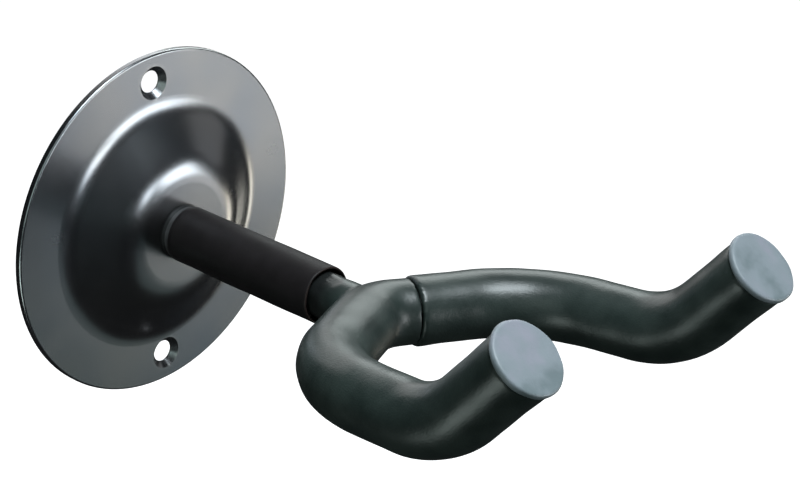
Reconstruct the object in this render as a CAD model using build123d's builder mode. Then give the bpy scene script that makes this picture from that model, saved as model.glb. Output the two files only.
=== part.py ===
from build123d import *
from math import cos, radians, sin
import os

# Wall guitar hanger: a pressed steel dish with a padded yoke that swivels on a bush in its centre.
# Frame: +Z up, the wall is the plane Y = 0, and the yoke reaches out along -Y.
# The origin is the centre of the dish on the wall. All sizes are in millimetres.

# ---- wall plate: a pressed dish, open at the back ----
plate_dia = 80.0
sheet = 1.5
boss_height = 9.5           # wall to the front face of the flat boss
foot_dia = 54.4             # where the cone would meet the flange, before rounding
shoulder_dia = 30.4         # where the cone would meet the boss, before rounding
foot_radius = 8.0
shoulder_radius = 12.0
edge_break = 0.5            # rounding of the rim, the nut's crown and the stud's tip
screw_spacing = 67.0        # two wall screws on a vertical line
screw_hole_dia = 5.0
screw_sink_dia = 7.6
screw_sink_angle = 90.0

# ---- swivel: post, bush and the stack behind the boss ----
rod_dia = 8.0               # steel bar of the post and of the arms
bush_bore = rod_dia + 0.1
bush_dia = 10.0
bush_flange_dia = 12.0
bush_flange = 1.0
collar_dia = 11.0
collar_length = 2.5
stud_dia = 6.0
washer_dia = 18.0
washer = 1.0
wave_dia = 12.0
wave_sheet = 0.6
wave_height = 1.0           # height of the curved washer when clamped
nut_flats = 10.0
nut_hex_height = 3.2
nut_crown_dia = 8.8
nut_height = 4.5
insert_dia = 7.4
insert_length = 1.0
stud_proud = 0.3            # stud standing out of the nut
clearance = 0.2

# ---- yoke: one bent rod welded across the end of the post ----
apex = 66.0                 # wall to the middle of the rod, on the post's line
spread_angle = 64.0         # from the post's line to each half of the rod
spread_run = 37.2           # middle of the rod to the side bend
side_angle = 5.0            # the side runs splay outward a little
side_run = 35.3
rise_angle = 45.0           # the tips turn up
tip_run = 27.9              # rise bend to the outside of the end cap
middle_radius = 12.0
side_radius = 28.0
rise_radius = 24.0
yoke_tilt = 5.0             # the arms climb away from the post
yoke_swivel = 7.4           # the yoke hangs turned a little on its post
weld_dia = 9.6
weld_length = 3.0

# ---- coverings ----
tube_dia = 12.8             # smooth tube on the post
tube_end = 53.2             # wall to the open end of the tube
tube_mouth_dia = 11.8
tube_mouth_depth = 3.0
foam_dia = 14.6
foam_bore = rod_dia + 0.1
throat_dia = 10.4           # where the near sleeve is drawn into the tube
throat_start = 51.2
seam = 9.0                  # along the rod from its middle to the butt joint of the two sleeves
seam_gap = 0.3
cap_dia = 15.8
cap_head = 1.6
cap_rounding = 0.5
spigot_dia = 8.0
spigot_length = 4.0

# ---- derived places ----
boss_back = boss_height - sheet
bush_front = boss_height + bush_flange
collar_front = bush_front + collar_length
washer_back = boss_back - washer
wave_back = washer_back - wave_height
nut_back = wave_back - nut_height
stud_end = nut_back - stud_proud
tube_start = bush_front + clearance
sleeve_run = tip_run - cap_head
rod_run = sleeve_run - spigot_length - clearance

section = Plane(origin=(0, 0, 0), x_dir=(1, 0, 0), z_dir=(0, 0, -1))  # radius, height off the wall


def wall_plane(height):
    """A plane parallel to the wall at this height, facing outward."""
    return Plane(origin=(0, -height, 0), x_dir=(1, 0, 0), z_dir=(0, -1, 0))


yoke_plane = Plane(Location((0, 0, 0), (0, yoke_swivel, 0)) * Location((0, -apex, 0), (-yoke_tilt, 0, 0)))


def on_half(side, distance):
    """A point on the rod's straight half, this far from the rod's middle, in the yoke's own frame."""
    return (side * distance * sin(radians(spread_angle)), -distance * cos(radians(spread_angle)), 0)


def arm_points(side, last_run):
    """Side bend, rise bend and end of one arm, in the yoke's own frame."""
    x, y, z = bend = on_half(side, spread_run)
    x += side * side_run * sin(radians(side_angle))
    y -= side_run * cos(radians(side_angle))
    tip = (x, y - last_run * cos(radians(rise_angle)), z + last_run * sin(radians(rise_angle)))
    return [bend, (x, y, z), tip]


def save(part, name):
    part.label = name
    export_step(part, f"parts/{name}.step")


os.makedirs("parts", exist_ok=True)

# ---- wall_plate ----
with BuildPart() as wall_plate:
    with BuildSketch(section):
        with BuildLine():
            face = FilletPolyline(
                (bush_dia / 2, boss_height),
                (shoulder_dia / 2, boss_height),
                (foot_dia / 2, sheet),
                (plate_dia / 2, sheet),
                radius=[shoulder_radius, foot_radius],
            )
            offset(face, amount=sheet, side=Side.RIGHT)
        make_face()
    revolve(axis=Axis.Y)
    rim_edges = wall_plate.edges().filter_by(GeomType.CIRCLE).sort_by(SortBy.RADIUS)[-2:]
    fillet(rim_edges.sort_by(Axis.Y)[0], edge_break)
    with Locations(wall_plane(sheet)):
        with GridLocations(0, screw_spacing, 1, 2):
            CounterSinkHole(screw_hole_dia / 2, screw_sink_dia / 2, counter_sink_angle=screw_sink_angle)
save(wall_plate.part, "wall_plate")

# ---- swivel_bush: a flanged plastic bush pressed into the boss ----
with BuildPart() as swivel_bush:
    with BuildSketch(wall_plane(boss_back)):
        Circle(bush_dia / 2)
    extrude(amount=sheet)
    with BuildSketch(wall_plane(boss_height)):
        Circle(bush_flange_dia / 2)
    extrude(amount=bush_flange)
    with Locations(wall_plane(bush_front)):
        Hole(bush_bore / 2)
save(swivel_bush.part, "swivel_bush")

# ---- arm_rod: the bent rod, cut short of the sleeves' ends ----
rod_corners = arm_points(-1, rod_run)[::-1] + [(0, 0, 0)] + arm_points(1, rod_run)
with BuildPart() as arm_rod:
    with BuildLine(yoke_plane) as rod_path:
        FilletPolyline(*rod_corners, radius=[rise_radius, side_radius, middle_radius, side_radius, rise_radius])
    with BuildSketch(Plane(origin=rod_path.line @ 0, z_dir=rod_path.line % 0)):
        Circle(rod_dia / 2)
    sweep()
save(arm_rod.part, "arm_rod")

# ---- neck_post: turned bar with a threaded tail, its end shaped to the rod ----
with BuildPart() as neck_post:
    with BuildSketch(wall_plane(boss_back + clearance / 2)):
        Circle(rod_dia / 2)
    extrude(amount=apex - boss_back - clearance / 2)
    with BuildSketch(wall_plane(stud_end)):
        Circle(stud_dia / 2)
    extrude(amount=boss_back + clearance / 2 - stud_end)
    chamfer(neck_post.edges().filter_by(GeomType.CIRCLE).sort_by(Axis.Y)[-1], edge_break)
    add(arm_rod.part, mode=Mode.SUBTRACT)
save(neck_post.part.solids().sort_by(SortBy.VOLUME)[-1], "neck_post")

# ---- weld_bead: the ring of weld between post and rod ----
with BuildPart() as weld_bead:
    with BuildSketch(wall_plane(apex - rod_dia / 2 - weld_length / 2)):
        Circle(weld_dia / 2)
    extrude(amount=weld_length)
    chamfer(weld_bead.edges().sort_by(Axis.Y)[-1], weld_length / 3)
    add(arm_rod.part, mode=Mode.SUBTRACT)
    add(neck_post.part, mode=Mode.SUBTRACT)
save(weld_bead.part.solids().sort_by(SortBy.VOLUME)[-1], "weld_bead")

# ---- thrust_collar: the ring on the post that runs against the bush ----
with BuildPart() as thrust_collar:
    with BuildSketch(wall_plane(bush_front)):
        Circle(collar_dia / 2)
        Circle(rod_dia / 2, mode=Mode.SUBTRACT)
    extrude(amount=collar_length)
save(thrust_collar.part, "thrust_collar")

# ---- rear_washer, wave_washer: the friction stack behind the boss ----
with BuildPart() as rear_washer:
    with BuildSketch(wall_plane(washer_back)):
        Circle(washer_dia / 2)
        Circle(stud_dia / 2 + clearance, mode=Mode.SUBTRACT)
    extrude(amount=washer)
save(rear_washer.part, "rear_washer")

wave_sag = wave_height - wave_sheet
with BuildPart() as wave_washer:
    with BuildSketch(section):
        with BuildLine():
            crest = ThreePointArc(
                (-wave_dia / 2, wave_back + wave_sheet),
                (0, washer_back),
                (wave_dia / 2, wave_back + wave_sheet),
            )
            offset(crest, amount=wave_sheet, side=Side.RIGHT)
        make_face()
    extrude(amount=wave_dia / 2, both=True)
    with BuildSketch(wall_plane(wave_back)):
        Circle(wave_dia / 2 - clearance)
        Circle(stud_dia / 2 + clearance, mode=Mode.SUBTRACT)
    extrude(amount=wave_height, mode=Mode.INTERSECT)
save(wave_washer.part, "wave_washer")

# ---- lock_nut and its plastic insert ----
with BuildPart() as lock_nut:
    with BuildSketch(wall_plane(wave_back)):
        RegularPolygon(nut_flats / 2, 6, major_radius=False)
    extrude(amount=-nut_hex_height)
    with BuildSketch(wall_plane(wave_back)):
        Circle(nut_flats / 2 / cos(radians(30)) - clearance)
    extrude(amount=-nut_hex_height, mode=Mode.INTERSECT)
    with BuildSketch(wall_plane(wave_back - nut_hex_height)):
        Circle(nut_crown_dia / 2)
    extrude(amount=nut_hex_height - nut_height)
    fillet(lock_nut.edges().sort_by(Axis.Y)[-1], edge_break)
    with BuildSketch(wall_plane(nut_back)):
        Circle(insert_dia / 2)
    extrude(amount=insert_length, mode=Mode.SUBTRACT)
    with Locations(wall_plane(wave_back)):
        Hole(stud_dia / 2)
save(lock_nut.part, "lock_nut")

with BuildPart() as nut_insert:
    with BuildSketch(wall_plane(nut_back)):
        Circle(insert_dia / 2)
        Circle(stud_dia / 2, mode=Mode.SUBTRACT)
    extrude(amount=insert_length)
save(nut_insert.part, "nut_insert")

# ---- neck_tube: smooth tube over the post, open at the yoke end ----
with BuildPart() as neck_tube:
    with BuildSketch(wall_plane(tube_start)):
        Circle(tube_dia / 2)
    extrude(amount=tube_end - tube_start)
    with Locations(wall_plane(tube_end)):
        CounterBoreHole(rod_dia / 2, tube_mouth_dia / 2, tube_mouth_depth)
    with BuildSketch(wall_plane(tube_start)):
        Circle(collar_dia / 2)
    extrude(amount=collar_front - tube_start, mode=Mode.SUBTRACT)
save(neck_tube.part, "neck_tube")

# ---- near_arm_sleeve: foam from inside the tube's mouth, over the weld and out to the tip ----
with BuildPart() as near_arm_sleeve:
    with BuildLine(yoke_plane) as near_path:
        FilletPolyline(
            on_half(1, seam),
            (0, 0, 0),
            *arm_points(-1, sleeve_run),
            radius=[middle_radius, side_radius, rise_radius],
        )
    with BuildSketch(Plane(origin=near_path.line @ 0, z_dir=near_path.line % 0)):
        Circle(foam_dia / 2)
    sweep()
    with BuildSketch(wall_plane(throat_start)):
        Circle(throat_dia / 2)
    extrude(amount=apex - throat_start)
    with BuildSketch(Plane(origin=near_path.line @ 0, z_dir=near_path.line % 0)):
        Circle(foam_bore / 2)
    sweep(path=near_path.line, mode=Mode.SUBTRACT)
    add(neck_post.part, mode=Mode.SUBTRACT)
    add(weld_bead.part, mode=Mode.SUBTRACT)
save(near_arm_sleeve.part, "near_arm_sleeve")

# ---- far_arm_sleeve: foam from the butt joint out to the other tip ----
with BuildPart() as far_arm_sleeve:
    with BuildLine(yoke_plane) as far_path:
        FilletPolyline(
            on_half(1, seam + seam_gap),
            *arm_points(1, sleeve_run),
            radius=[side_radius, rise_radius],
        )
    with BuildSketch(Plane(origin=far_path.line @ 0, z_dir=far_path.line % 0)):
        Circle(foam_dia / 2)
        Circle(foam_bore / 2, mode=Mode.SUBTRACT)
    sweep()
save(far_arm_sleeve.part, "far_arm_sleeve")

# ---- end caps: a flat head on a spigot that plugs each sleeve ----
for path, name in ((near_path, "near_end_cap"), (far_path, "far_end_cap")):
    with BuildPart() as end_cap:
        with BuildSketch(Plane(origin=path.line @ 1, z_dir=path.line % 1)):
            Circle(cap_dia / 2)
        extrude(amount=cap_head)
        fillet(end_cap.edges(), cap_rounding)
        with BuildSketch(Plane(origin=path.line @ 1, z_dir=path.line % 1)):
            Circle(spigot_dia / 2)
        extrude(amount=-spigot_length)
    save(end_cap.part, name)
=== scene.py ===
from math import cos, pi, radians, sin, tan

import bmesh
import bpy
import numpy as np
from mathutils import Euler, Matrix, Vector, noise


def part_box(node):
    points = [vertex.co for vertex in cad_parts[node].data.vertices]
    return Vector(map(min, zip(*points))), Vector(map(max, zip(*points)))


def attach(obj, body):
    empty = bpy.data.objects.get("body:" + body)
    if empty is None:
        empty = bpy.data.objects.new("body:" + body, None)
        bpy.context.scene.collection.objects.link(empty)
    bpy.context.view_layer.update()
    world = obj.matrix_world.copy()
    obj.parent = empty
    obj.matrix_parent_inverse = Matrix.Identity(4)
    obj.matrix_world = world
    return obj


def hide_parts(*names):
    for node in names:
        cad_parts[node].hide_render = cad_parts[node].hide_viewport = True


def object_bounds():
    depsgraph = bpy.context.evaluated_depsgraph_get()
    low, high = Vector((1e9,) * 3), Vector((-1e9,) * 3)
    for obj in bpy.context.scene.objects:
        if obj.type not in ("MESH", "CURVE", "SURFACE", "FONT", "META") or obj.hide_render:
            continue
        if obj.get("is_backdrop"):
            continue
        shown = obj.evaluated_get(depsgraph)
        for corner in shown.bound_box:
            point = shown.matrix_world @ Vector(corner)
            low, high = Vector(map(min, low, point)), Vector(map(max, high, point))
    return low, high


# Looks of the wall guitar hanger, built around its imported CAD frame.
# Metres, +Z up, the wall is the plane Y = 0 and the yoke reaches out along -Y.

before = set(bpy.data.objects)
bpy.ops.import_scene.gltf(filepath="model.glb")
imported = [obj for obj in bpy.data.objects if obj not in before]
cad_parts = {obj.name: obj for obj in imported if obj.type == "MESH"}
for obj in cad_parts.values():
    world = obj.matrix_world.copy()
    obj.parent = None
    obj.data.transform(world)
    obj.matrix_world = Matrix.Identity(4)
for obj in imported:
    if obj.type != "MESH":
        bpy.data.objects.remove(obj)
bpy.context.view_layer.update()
MM = 0.001

# ---- the yoke's centre line, as the CAD rod is bent ----
APEX = 66.0 * MM
SPREAD_ANGLE = radians(64)
SPREAD_RUN = 37.2 * MM
SIDE_ANGLE = radians(5)
SIDE_RUN = 35.3 * MM
RISE_ANGLE = radians(45)
TIP_RUN = 27.9 * MM
MIDDLE_RADIUS = 12.0 * MM
SIDE_RADIUS = 28.0 * MM
RISE_RADIUS = 24.0 * MM
YOKE_TILT = radians(5)
YOKE_SWIVEL = radians(7.4)
FOAM_RADIUS = 7.3 * MM
SEAM = 9.0 * MM
PATH_STEP = 0.5 * MM

# ---- other CAD sizes the covers and the wear follow ----
PLATE_RADIUS = 40.0 * MM
SCREW_HEIGHT = 33.5 * MM
SINK_RADIUS = 3.8 * MM
POST_RADIUS = 4.0 * MM
COLLAR_RADIUS = 5.5 * MM
COLLAR_DEPTH = 2.3 * MM
TUBE_RADIUS = 6.4 * MM
MOUTH_RADIUS = 5.9 * MM
MOUTH_DEPTH = 3.0 * MM

yoke_matrix = (
    Euler((0, YOKE_SWIVEL, 0)).to_matrix().to_4x4()
    @ Matrix.Translation((0, -APEX, 0))
    @ Euler((-YOKE_TILT, 0, 0)).to_matrix().to_4x4()
)


def arm_corners(side):
    """Side bend, rise bend and tip of one arm in the yoke's own frame."""
    bend = Vector((side * sin(SPREAD_ANGLE), -cos(SPREAD_ANGLE), 0)) * SPREAD_RUN
    rise = bend + Vector((side * sin(SIDE_ANGLE), -cos(SIDE_ANGLE), 0)) * SIDE_RUN
    tip = rise + Vector((0, -cos(RISE_ANGLE), sin(RISE_ANGLE))) * TIP_RUN
    return [bend, rise, tip]


def rounded(corners, radii, step=PATH_STEP):
    """Points every step along a polyline whose corners are arcs."""
    points = [corners[0]]
    for before, corner, after, radius in zip(corners, corners[1:], corners[2:], radii):
        back = (before - corner).normalized()
        ahead = (after - corner).normalized()
        turn = pi - back.angle(ahead)
        reach = radius * tan(turn / 2)
        centre = corner + (back + ahead).normalized() * radius / cos(turn / 2)
        start, end = corner + back * reach - centre, corner + ahead * reach - centre
        count = max(4, int(radius * turn / step))
        for i in range(count + 1):
            t = i / count
            arm = start * sin((1 - t) * turn) + end * sin(t * turn)
            points.append(centre + arm / sin(turn))
    points.append(corners[-1])
    dense = [points[0]]
    for p in points[1:]:
        gap = p - dense[-1]
        pieces = max(1, round(gap.length / step))
        first = dense[-1]
        dense += [first + gap * k / pieces for k in range(1, pieces + 1)]
    return np.array([yoke_matrix @ p for p in dense])


near, far = arm_corners(-1), arm_corners(1)
seam_point = far[0].normalized() * SEAM
near_path = rounded([seam_point, Vector((0, 0, 0)), *near], [MIDDLE_RADIUS, SIDE_RADIUS, RISE_RADIUS])
far_path = rounded([seam_point, *far], [SIDE_RADIUS, RISE_RADIUS])


# ---- mesh helpers ----
def new_object(name, mesh):
    obj = bpy.data.objects.new(name, mesh)
    bpy.context.scene.collection.objects.link(obj)
    for face in mesh.polygons:
        face.use_smooth = True
    return obj


def lathe(name, profile, turns=128, wobble=None):
    """A closed ring of (radius, height off the wall) turned about the Y axis.

    wobble(i, angle) gives what profile point i adds to its radius and height there.
    """
    mesh = bmesh.new()
    rings = []
    for k in range(turns):
        angle = 2 * pi * k / turns
        ring = []
        for i, (radius, height) in enumerate(profile):
            dr, dh = wobble(i, angle) if wobble else (0, 0)
            r = radius + dr
            ring.append(mesh.verts.new((r * cos(angle), -(height + dh), r * sin(angle))))
        rings.append(ring)
    count = len(profile)
    for k in range(turns):
        a, b = rings[k], rings[(k + 1) % turns]
        for i in range(count):
            j = (i + 1) % count
            mesh.faces.new((a[i], a[j], b[j], b[i]))
    bmesh.ops.recalc_face_normals(mesh, faces=mesh.faces)
    data = bpy.data.meshes.new(name)
    mesh.to_mesh(data)
    mesh.free()
    return new_object(name, data)


def apply_modifiers(obj):
    """Bakes the object's modifiers into its mesh."""
    graph = bpy.context.evaluated_depsgraph_get()
    data = bpy.data.meshes.new_from_object(obj.evaluated_get(graph))
    obj.modifiers.clear()
    obj.data = data
    for face in data.polygons:
        face.use_smooth = True


def foam_copy(node, name, voxel):
    """A new piece from a CAD node's own shape, evenly meshed with softened edges."""
    obj = new_object(name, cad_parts[node].data.copy())
    obj.data.materials.clear()
    remesh = obj.modifiers.new("even", "REMESH")
    remesh.mode = "VOXEL"
    remesh.voxel_size = voxel
    soften = obj.modifiers.new("soften", "SMOOTH")
    soften.factor = 0.5
    soften.iterations = 4
    bpy.context.view_layer.update()
    apply_modifiers(obj)
    return obj


def smooth_step(x):
    x = np.clip(x, 0, 1)
    return x * x * (3 - 2 * x)


def path_frame(path):
    """Distance along, tangent and curvature vector at every point of a path."""
    steps = np.diff(path, axis=0)
    along = np.r_[0, np.cumsum(np.linalg.norm(steps, axis=1))]
    tangent = np.gradient(path, along, axis=0)
    tangent /= np.linalg.norm(tangent, axis=1)[:, None]
    curve = np.gradient(tangent, along, axis=0)
    kernel = np.ones(9) / 9
    curve = np.stack([np.convolve(curve[:, k], kernel, mode="same") for k in range(3)], 1)
    return along, tangent, curve


def vertex_array(obj):
    points = np.empty(len(obj.data.vertices) * 3)
    obj.data.vertices.foreach_get("co", points)
    return points.reshape(-1, 3)


def normal_array(obj):
    normals = np.empty(len(obj.data.vertices) * 3)
    obj.data.vertex_normals.foreach_get("vector", normals)
    return normals.reshape(-1, 3)


def noise_array(points, size, seed):
    """Smooth noise of the given feature size at every point."""
    shift = Vector((seed, 0.7 * seed, 0))
    return np.array([noise.noise(Vector(p / size) + shift) for p in points])


FOLD_PITCH = 3.6 * MM
FOLD_DEPTH = 0.05 * MM
BEND_HOLLOW = 0.1 * MM
BEND_SWELL = 0.12 * MM
LUMP_SIZE = 6 * MM
LUMP_DEPTH = 0.1 * MM
CRUMPLE_SIZE = 2.2 * MM
CRUMPLE_DEPTH = 0.3 * MM
THROAT_SHRINK = 0.15 * MM


def shape_foam(obj, path, radius_at, seed):
    """Moves the skin of a sleeve: its own radius along the path, folds inside each bend, unevenness."""
    along, tangent, curve = path_frame(path)
    points = vertex_array(obj)
    count = len(points)
    nearest = np.empty(count, int)
    block = 4000
    for first in range(0, count, block):
        some = points[first:first + block]
        gaps = ((some[:, None, :] - path[None, :, :]) ** 2).sum(2)
        nearest[first:first + block] = gaps.argmin(1)
    offset = points - path[nearest]
    offset -= (offset * tangent[nearest]).sum(1)[:, None] * tangent[nearest]
    distance = np.linalg.norm(offset, axis=1)
    outward = offset / np.maximum(distance, 1e-6)[:, None]
    skin = smooth_step((distance - 0.72 * FOAM_RADIUS) / (0.2 * FOAM_RADIUS))
    s = along[nearest]
    inside = (outward * curve[nearest]).sum(1) * FOAM_RADIUS
    push = radius_at(s) - FOAM_RADIUS
    folds = np.sin(2 * pi * s / FOLD_PITCH + 1.7 * np.sin(s / (2.3 * FOLD_PITCH)))
    creased = smooth_step((inside - 0.25) / 0.3) * smooth_step(s / SEAM - 1)
    push += creased * (folds * FOLD_DEPTH - BEND_HOLLOW)
    push += smooth_step(-inside / 0.35) * BEND_SWELL
    push += noise_array(points, LUMP_SIZE, seed) * LUMP_DEPTH
    # the throat, where the foam is drawn along the post into the tube
    throat = smooth_step((points[:, 1] + APEX - FOAM_RADIUS) / (2 * MM))
    post_distance = np.hypot(points[:, 0], points[:, 2])
    clear_of_bore = smooth_step((post_distance - POST_RADIUS - 0.3 * MM) / (0.5 * MM))
    skin *= 1 - throat * (1 - clear_of_bore)
    crumple = noise_array(points * (1, 0.45, 1), CRUMPLE_SIZE, seed + 5)
    push = push * (1 - throat) + throat * (crumple * CRUMPLE_DEPTH - THROAT_SHRINK)
    points += normal_array(obj) * (push * skin)[:, None]
    obj.data.vertices.foreach_set("co", points.ravel())
    obj.data.update()


# ---- material helpers ----
def material(name, base, rough, **sockets):
    """A Principled material and a short-hand for wiring its nodes."""
    mat = bpy.data.materials.new(name)
    mat.use_nodes = True
    nodes, links = mat.node_tree.nodes, mat.node_tree.links
    shader = nodes["Principled BSDF"]
    shader.inputs["Base Color"].default_value = (*base, 1)
    shader.inputs["Roughness"].default_value = rough
    for key, value in sockets.items():
        shader.inputs[key.replace("_", " ")].default_value = value
    place = nodes.new("ShaderNodeTexCoord").outputs["Object"]
    return mat, nodes, links, shader, place


def noise_node(nodes, links, place, scale, detail=4, rough=0.55):
    tex = nodes.new("ShaderNodeTexNoise")
    tex.inputs["Scale"].default_value = scale
    tex.inputs["Detail"].default_value = detail
    tex.inputs["Roughness"].default_value = rough
    links.new(place, tex.inputs["Vector"])
    return tex.outputs["Fac"]


def stretched(nodes, links, place, scale):
    """The same place with each axis scaled, for grain that runs one way."""
    node = nodes.new("ShaderNodeVectorMath")
    node.operation = "MULTIPLY"
    node.inputs[1].default_value = scale
    links.new(place, node.inputs[0])
    return node.outputs["Vector"]


def ramp(nodes, links, value, stops):
    node = nodes.new("ShaderNodeValToRGB")
    elements = node.color_ramp.elements
    while len(elements) < len(stops):
        elements.new(0.5)
    for element, (at, colour) in zip(elements, stops):
        element.position = at
        element.color = (*colour, 1)
    node.color_ramp.interpolation = "EASE"
    links.new(value, node.inputs["Fac"])
    return node.outputs["Color"]


def mix(nodes, links, factor, below, above):
    """Goes from the below colour to the above colour; each is a socket or a constant."""
    node = nodes.new("ShaderNodeMix")
    node.data_type = "RGBA"
    links.new(factor, node.inputs["Factor"])
    for socket, value in (("A", below), ("B", above)):
        if isinstance(value, tuple):
            node.inputs[socket].default_value = (*value, 1)
        else:
            links.new(value, node.inputs[socket])
    return node.outputs["Result"]


def bump(nodes, links, height, distance, strength=1.0, below=None):
    node = nodes.new("ShaderNodeBump")
    node.inputs["Distance"].default_value = distance
    node.inputs["Strength"].default_value = strength
    links.new(height, node.inputs["Height"])
    if below is not None:
        links.new(below, node.inputs["Normal"])
    return node.outputs["Normal"]


def span(nodes, links, value, low, high, start=0.0, end=1.0):
    """Maps start..end onto low..high, clamped."""
    node = nodes.new("ShaderNodeMapRange")
    node.inputs["From Min"].default_value = start
    node.inputs["From Max"].default_value = end
    node.inputs["To Min"].default_value = low
    node.inputs["To Max"].default_value = high
    links.new(value, node.inputs["Value"])
    return node.outputs["Result"]


def calculate(nodes, links, operation, first, second):
    node = nodes.new("ShaderNodeMath")
    node.operation = operation
    for socket, value in zip(node.inputs, (first, second)):
        if isinstance(value, (int, float)):
            socket.default_value = value
        else:
            links.new(value, socket)
    return node.outputs["Value"]


def distance_to(nodes, links, place, point):
    node = nodes.new("ShaderNodeVectorMath")
    node.operation = "DISTANCE"
    node.inputs[1].default_value = point
    links.new(place, node.inputs[0])
    return node.outputs["Value"]


def height_off_wall(nodes, links, place):
    split = nodes.new("ShaderNodeSeparateXYZ")
    links.new(place, split.inputs["Vector"])
    return calculate(nodes, links, "MULTIPLY", split.outputs["Y"], -1.0)


def plate_finish():
    mat, nodes, links, shader, place = material(
        "gunmetal_lacquer", (0.29, 0.30, 0.31), 0.26, Metallic=1.0
    )
    tint = noise_node(nodes, links, place, 26, 2)
    colour = ramp(nodes, links, tint, [(0.3, (0.245, 0.268, 0.30)), (0.7, (0.325, 0.325, 0.325))])
    cloud = noise_node(nodes, links, place, 90)
    # lacquer rubbed thin at the rim and around the screw holes
    flat = stretched(nodes, links, place, (1, 0, 1))
    from_centre = distance_to(nodes, links, flat, (0, 0, 0))
    worn = span(nodes, links, from_centre, 0, 1, PLATE_RADIUS - 0.9 * MM, PLATE_RADIUS)
    for side in (-1, 1):
        hole = distance_to(nodes, links, flat, (0, 0, side * SCREW_HEIGHT))
        ring = span(nodes, links, hole, 1, 0, SINK_RADIUS, SINK_RADIUS + 0.8 * MM)
        worn = calculate(nodes, links, "MAXIMUM", worn, ring)
    patch = span(nodes, links, noise_node(nodes, links, place, 420), 0, 1, 0.42, 0.62)
    worn = calculate(nodes, links, "MULTIPLY", worn, patch)
    worn = calculate(nodes, links, "MULTIPLY", worn, 0.35)
    links.new(mix(nodes, links, worn, colour, (0.46, 0.46, 0.45)), shader.inputs["Base Color"])
    links.new(span(nodes, links, cloud, 0.21, 0.30), shader.inputs["Roughness"])
    roll = noise_node(nodes, links, stretched(nodes, links, place, (25, 25, 420)), 1.0, 3)
    rolled = bump(nodes, links, roll, 0.00002, 0.35)
    peel = noise_node(nodes, links, place, 700, 2)
    links.new(bump(nodes, links, peel, 0.00002, 0.22, rolled), shader.inputs["Normal"])
    return mat


def foam_skin():
    mat, nodes, links, shader, place = material("sleeve_foam", (0.018, 0.026, 0.024), 0.34)
    cloud = noise_node(nodes, links, place, 130)
    colour = ramp(nodes, links, cloud, [(0.2, (0.010, 0.016, 0.0145)), (0.8, (0.024, 0.033, 0.030))])
    # painted shade where the foam is squeezed into the tube: the throat is darkened to stand in for the
    # tube's shadow
    height = height_off_wall(nodes, links, place)
    throat_painted_shade = span(nodes, links, height, 1, 0, APEX - 11 * MM, APEX - 6 * MM)
    links.new(mix(nodes, links, throat_painted_shade, colour, (0.006, 0.007, 0.007)), shader.inputs["Base Color"])
    links.new(span(nodes, links, cloud, 0.30, 0.38), shader.inputs["Roughness"])
    cells = nodes.new("ShaderNodeTexVoronoi")
    cells.inputs["Scale"].default_value = 2600
    links.new(place, cells.inputs["Vector"])
    pores = bump(nodes, links, cells.outputs["Distance"], 0.00004, 0.4)
    grain = noise_node(nodes, links, place, 900, 3)
    links.new(bump(nodes, links, grain, 0.00008, 0.4, pores), shader.inputs["Normal"])
    return mat


def cap_skin():
    mat, nodes, links, shader, place = material("cap_foam", (0.21, 0.24, 0.26), 0.5)
    patch = noise_node(nodes, links, place, 110, 3)
    stops = [(0.3, (0.10, 0.126, 0.136)), (0.5, (0.148, 0.172, 0.19)), (0.72, (0.172, 0.178, 0.21))]
    links.new(ramp(nodes, links, patch, stops), shader.inputs["Base Color"])
    links.new(span(nodes, links, patch, 0.44, 0.56), shader.inputs["Roughness"])
    grain = noise_node(nodes, links, place, 1500, 3)
    links.new(bump(nodes, links, grain, 0.00008, 0.5), shader.inputs["Normal"])
    return mat


def tube_vinyl(cut_height):
    mat, nodes, links, shader, place = material(
        "tube_vinyl", (0.007, 0.006, 0.0065), 0.5, Specular_IOR_Level=0.16
    )
    cloud = noise_node(nodes, links, place, 120)
    colour = ramp(nodes, links, cloud, [(0.15, (0.0055, 0.0045, 0.0048)), (0.85, (0.0105, 0.0085, 0.0092))])
    # the last half millimetre of the open end, cut face and lip, is painted lighter and brownish: a painted
    # highlight where the lip catches light
    height = height_off_wall(nodes, links, place)
    cut = span(nodes, links, height, 0, 1, cut_height - 0.5 * MM, cut_height - 0.2 * MM)
    links.new(mix(nodes, links, cut, colour, (0.020, 0.013, 0.012)), shader.inputs["Base Color"])
    links.new(span(nodes, links, cloud, 0.45, 0.58), shader.inputs["Roughness"])
    wave = noise_node(nodes, links, place, 220, 2)
    links.new(bump(nodes, links, wave, 0.00012, 0.5), shader.inputs["Normal"])
    return mat


def metal(name, dark, light, rough, grain):
    mat, nodes, links, shader, place = material(name, light, rough, Metallic=1.0)
    cloud = noise_node(nodes, links, place, 300)
    links.new(ramp(nodes, links, cloud, [(0.3, dark), (0.7, light)]), shader.inputs["Base Color"])
    links.new(span(nodes, links, cloud, rough - 0.07, rough + 0.09), shader.inputs["Roughness"])
    fine = noise_node(nodes, links, place, grain, 3)
    links.new(bump(nodes, links, fine, 0.00003, 0.5), shader.inputs["Normal"])
    return mat


def plastic(name, dark, light, rough):
    mat, nodes, links, shader, place = material(name, light, rough)
    cloud = noise_node(nodes, links, place, 400)
    links.new(ramp(nodes, links, cloud, [(0.3, dark), (0.7, light)]), shader.inputs["Base Color"])
    links.new(span(nodes, links, cloud, rough - 0.05, rough + 0.08), shader.inputs["Roughness"])
    fine = noise_node(nodes, links, place, 2500, 2)
    links.new(bump(nodes, links, fine, 0.00003, 0.5), shader.inputs["Normal"])
    return mat


def wear(obj, mat):
    obj.data.materials.clear()
    obj.data.materials.append(mat)


# ---- foam sleeves ----
foam = foam_skin()
FOAM_VOXEL = 0.45 * MM
CAP_VOXEL = 0.3 * MM
TIP_LENGTH = 9 * MM


def tip_share(s):
    """Goes from 0 to 1 over the last stretch of a sleeve."""
    return smooth_step((s - s.max() + TIP_LENGTH) / TIP_LENGTH)


def near_radius(s):
    """Drawn a little thin where it passes the weld, full on the arm, swollen at the tip."""
    tucked = 1 - smooth_step(s / (2 * SEAM))
    return FOAM_RADIUS - tucked * 0.25 * MM + tip_share(s) * 0.15 * MM


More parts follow.
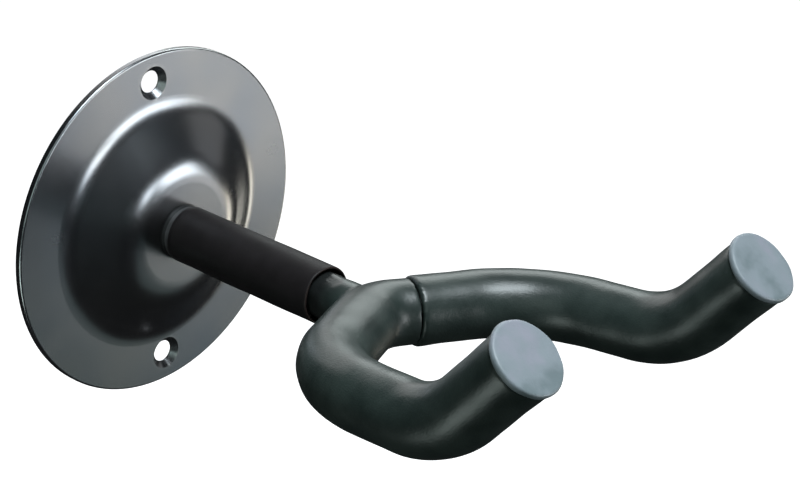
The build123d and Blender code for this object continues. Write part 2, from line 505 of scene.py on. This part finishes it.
def far_radius(s):
    """Flared at its cut mouth and swollen at the tip."""
    mouth = 1 - smooth_step(s / (5 * MM))
    return FOAM_RADIUS + 0.1 * MM + mouth * 0.15 * MM + tip_share(s) * 0.1 * MM


for node, path, radius_at, seed in (
    ("near_arm_sleeve", near_path, near_radius, 3.1),
    ("far_arm_sleeve", far_path, far_radius, 8.4),
):
    sleeve = foam_copy(node, node.replace("sleeve", "foam"), FOAM_VOXEL)
    shape_foam(sleeve, path, radius_at, seed)
    wear(sleeve, foam)
    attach(sleeve, "yoke")
    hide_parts(node)

# ---- end caps ----
cap_mat = cap_skin()


def press_cap(cap, seed):
    """Handling leaves the soft caps slightly uneven."""
    points = vertex_array(cap)
    push = noise_array(points, 4 * MM, seed) * 0.18 * MM
    points += normal_array(cap) * push[:, None]
    cap.data.vertices.foreach_set("co", points.ravel())
    cap.data.update()


for node, seed in (("near_end_cap", 2.3), ("far_end_cap", 6.8)):
    cap = foam_copy(node, node.replace("_cap", "_disc"), CAP_VOXEL)
    press_cap(cap, seed)
    wear(cap, cap_mat)
    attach(cap, "yoke")
    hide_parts(node)

# ---- neck tube ----
low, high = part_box("neck_tube")
tube_start, tube_end = -high.y, -low.y
SNUG = 0.02 * MM
collar_bore = COLLAR_RADIUS + 0.05 * MM
tube_profile = [
    (collar_bore, tube_start),
    (TUBE_RADIUS - 0.15 * MM, tube_start),
    (TUBE_RADIUS, tube_start + 0.15 * MM),
]
RINGS = 40
side_length = tube_end - tube_start - 1.2 * MM
for i in range(1, RINGS):
    tube_profile.append((TUBE_RADIUS, tube_start + 0.5 * MM + side_length * i / RINGS))
LIP = len(tube_profile)
LIP_POINTS = 5
tube_profile += [
    (TUBE_RADIUS, tube_end - 0.4 * MM),
    (TUBE_RADIUS - 0.06 * MM, tube_end - 0.1 * MM),
    (TUBE_RADIUS - 0.2 * MM, tube_end),
    (MOUTH_RADIUS + 0.1 * MM, tube_end),
    (MOUTH_RADIUS, tube_end - 0.15 * MM),
    (MOUTH_RADIUS, tube_end - MOUTH_DEPTH + 0.2 * MM),
    (MOUTH_RADIUS - 0.2 * MM, tube_end - MOUTH_DEPTH),
    (POST_RADIUS + SNUG, tube_end - MOUTH_DEPTH),
    (POST_RADIUS + SNUG, tube_start + COLLAR_DEPTH),
    (collar_bore, tube_start + COLLAR_DEPTH),
]


def tube_wobble(i, angle):
    """The tube isn't quite round, and its outer end is cut by hand."""
    radius, height = tube_profile[i]
    uneven = noise.noise(Vector((cos(angle) * 1.3, sin(angle) * 1.3, height * 90)))
    dr = uneven * 0.1 * MM if radius > MOUTH_RADIUS else 0
    on_lip = LIP <= i < LIP + LIP_POINTS
    dh = (0.16 * sin(2 * angle + 0.6) + 0.07 * sin(5 * angle) - 0.16) * MM if on_lip else 0
    return dr, dh


tube = lathe("neck_vinyl_tube", tube_profile, wobble=tube_wobble)
wear(tube, tube_vinyl(tube_end))
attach(tube, "yoke")
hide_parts("neck_tube")

# ---- CAD nodes that keep their shape ----
zinc = metal("bright_zinc", (0.50, 0.50, 0.49), (0.68, 0.68, 0.66), 0.3, 1800)
blackened = metal("blackened_steel", (0.045, 0.045, 0.048), (0.085, 0.085, 0.09), 0.36, 1500)
finishes = {
    "wall_plate": plate_finish(),
    "swivel_bush": plastic("bush_nylon", (0.02, 0.02, 0.021), (0.035, 0.035, 0.037), 0.45),
    "neck_post": blackened,
    "thrust_collar": blackened,
    "weld_bead": metal("weld", (0.16, 0.15, 0.15), (0.28, 0.27, 0.26), 0.5, 900),
    "arm_rod": metal("rod_steel", (0.34, 0.34, 0.34), (0.45, 0.45, 0.45), 0.35, 1500),
    "rear_washer": zinc,
    "wave_washer": metal("spring_steel", (0.16, 0.155, 0.15), (0.26, 0.25, 0.24), 0.38, 1500),
    "lock_nut": zinc,
    "nut_insert": plastic("insert_nylon", (0.05, 0.10, 0.24), (0.08, 0.15, 0.33), 0.4),
}
for node, mat in finishes.items():
    wear(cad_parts[node], mat)

# ---- stage, lights and camera ----
FLOOR = -0.45
FLOOR_HALF = 12
FLOOR_GLOW = 0.98


def area(name, place, aim, size, power, colour=(1, 1, 1), tall=None):
    data = bpy.data.lights.new(name, "AREA")
    data.shape = "RECTANGLE"
    data.size = size
    data.size_y = tall or size
    data.energy = power
    data.color = colour
    light = bpy.data.objects.new(name, data)
    light.location = place
    light.rotation_euler = (Vector(aim) - Vector(place)).to_track_quat("-Z", "Y").to_euler()
    light.visible_camera = False
    bpy.context.scene.collection.objects.link(light)


centre = (0, -0.06, 0)
area("overhead", (0.0, -0.24, 0.6), centre, 0.44, 2.8, (0.90, 0.97, 1.0), tall=0.4)
area("overhead_key", (0.0, -0.24, 0.6), centre, 0.17, 4.0, (0.84, 0.95, 1.0))
area("high_right", (0.50, 0.18, 0.29), (0, -0.066, 0), 0.46, 1.6, (0.93, 1.0, 0.99), tall=0.3)
area("left_fill", (-0.55, -0.35, 0.3), centre, 0.6, 0.9, (0.82, 1.0, 0.93))
area("right", (0.6, -0.15, 0.1), centre, 0.3, 0.07)
area("left_low", (-0.24, -0.07, -0.1), (-0.02, -0.1, 0), 0.12, 0.13, (0.85, 1.0, 0.95))
area("window", (0.255, -0.27, -0.115), (0, 0, 0), 0.12, 0.041, tall=0.09)
area("window_top", (0.3, -0.6, -0.01), (0, 0, 0.01), 0.48, 1.9, (0.95, 0.99, 1.0), tall=0.23)
area("low_right", (0.3, -0.27, -0.22), (0, 0, 0), 0.14, 0.016, (0.92, 1.0, 1.0), tall=0.12)
area("low_front", (0.17, -0.3, -0.26), (0, 0, 0), 0.2, 0.013, (0.72, 1.0, 1.0), tall=0.16)
area("far_right", (0.35, -0.165, -0.19), (0.02, 0, 0), 0.08, 0.085, (1.0, 0.93, 0.78))
area("behind", (0.3, 0.7, 0.3), centre, 0.6, 1.9)

# the camera sees a white studio, and everything else sees a dark one
STUDIO_DARK = (0.015, 0.016, 0.017)
STUDIO_WHITE = (1, 1, 1)
world = bpy.data.worlds.new("studio")
bpy.context.scene.world = world
world.use_nodes = True
tree = world.node_tree
rays = tree.nodes.new("ShaderNodeLightPath")
mixer = tree.nodes.new("ShaderNodeMix")
mixer.data_type = "RGBA"
mixer.inputs["A"].default_value = (*STUDIO_DARK, 1)
mixer.inputs["B"].default_value = (*STUDIO_WHITE, 1)
tree.links.new(rays.outputs["Is Camera Ray"], mixer.inputs["Factor"])
tree.links.new(mixer.outputs["Result"], tree.nodes["Background"].inputs["Color"])

floor_mesh = bpy.data.meshes.new("floor")
floor_corners = [(-1, -1), (1, -1), (1, 1), (-1, 1)]
floor_points = [(x * FLOOR_HALF, y * FLOOR_HALF, FLOOR) for x, y in floor_corners]
floor_mesh.from_pydata(floor_points, [], [(0, 1, 2, 3)])
floor = new_object("floor", floor_mesh)
floor_mat, nodes, links, shader, place = material("pale_floor", (0.85, 0.85, 0.85), 0.9)
shader.inputs["Emission Color"].default_value = (1, 1, 1, 1)
shader.inputs["Emission Strength"].default_value = FLOOR_GLOW
wear(floor, floor_mat)
floor.visible_diffuse = False
floor.visible_glossy = False
floor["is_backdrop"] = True

CAMERA_AZIMUTH = radians(-47.5)
CAMERA_ELEVATION = radians(27)
CAMERA_ROLL = radians(0.2)
CAMERA_DISTANCE = 0.5125
LENS, SENSOR = 110.4, 36
CAMERA_AIM = Vector((0.011, -0.0641, 0.0105))
back = Vector((
    sin(CAMERA_AZIMUTH) * cos(CAMERA_ELEVATION),
    -cos(CAMERA_AZIMUTH) * cos(CAMERA_ELEVATION),
    sin(CAMERA_ELEVATION),
))
camera_data = bpy.data.cameras.new("camera")
camera_data.lens = LENS
camera_data.sensor_width = SENSOR
camera = bpy.data.objects.new("camera", camera_data)
camera.location = CAMERA_AIM + back * CAMERA_DISTANCE
camera.rotation_mode = "QUATERNION"
camera.rotation_quaternion = (-back).to_track_quat("-Z", "Y") @ Euler((0, 0, CAMERA_ROLL)).to_quaternion()
bpy.context.scene.collection.objects.link(camera)
bpy.context.scene.camera = camera
bpy.context.scene.view_settings.view_transform = "Standard"

low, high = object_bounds()
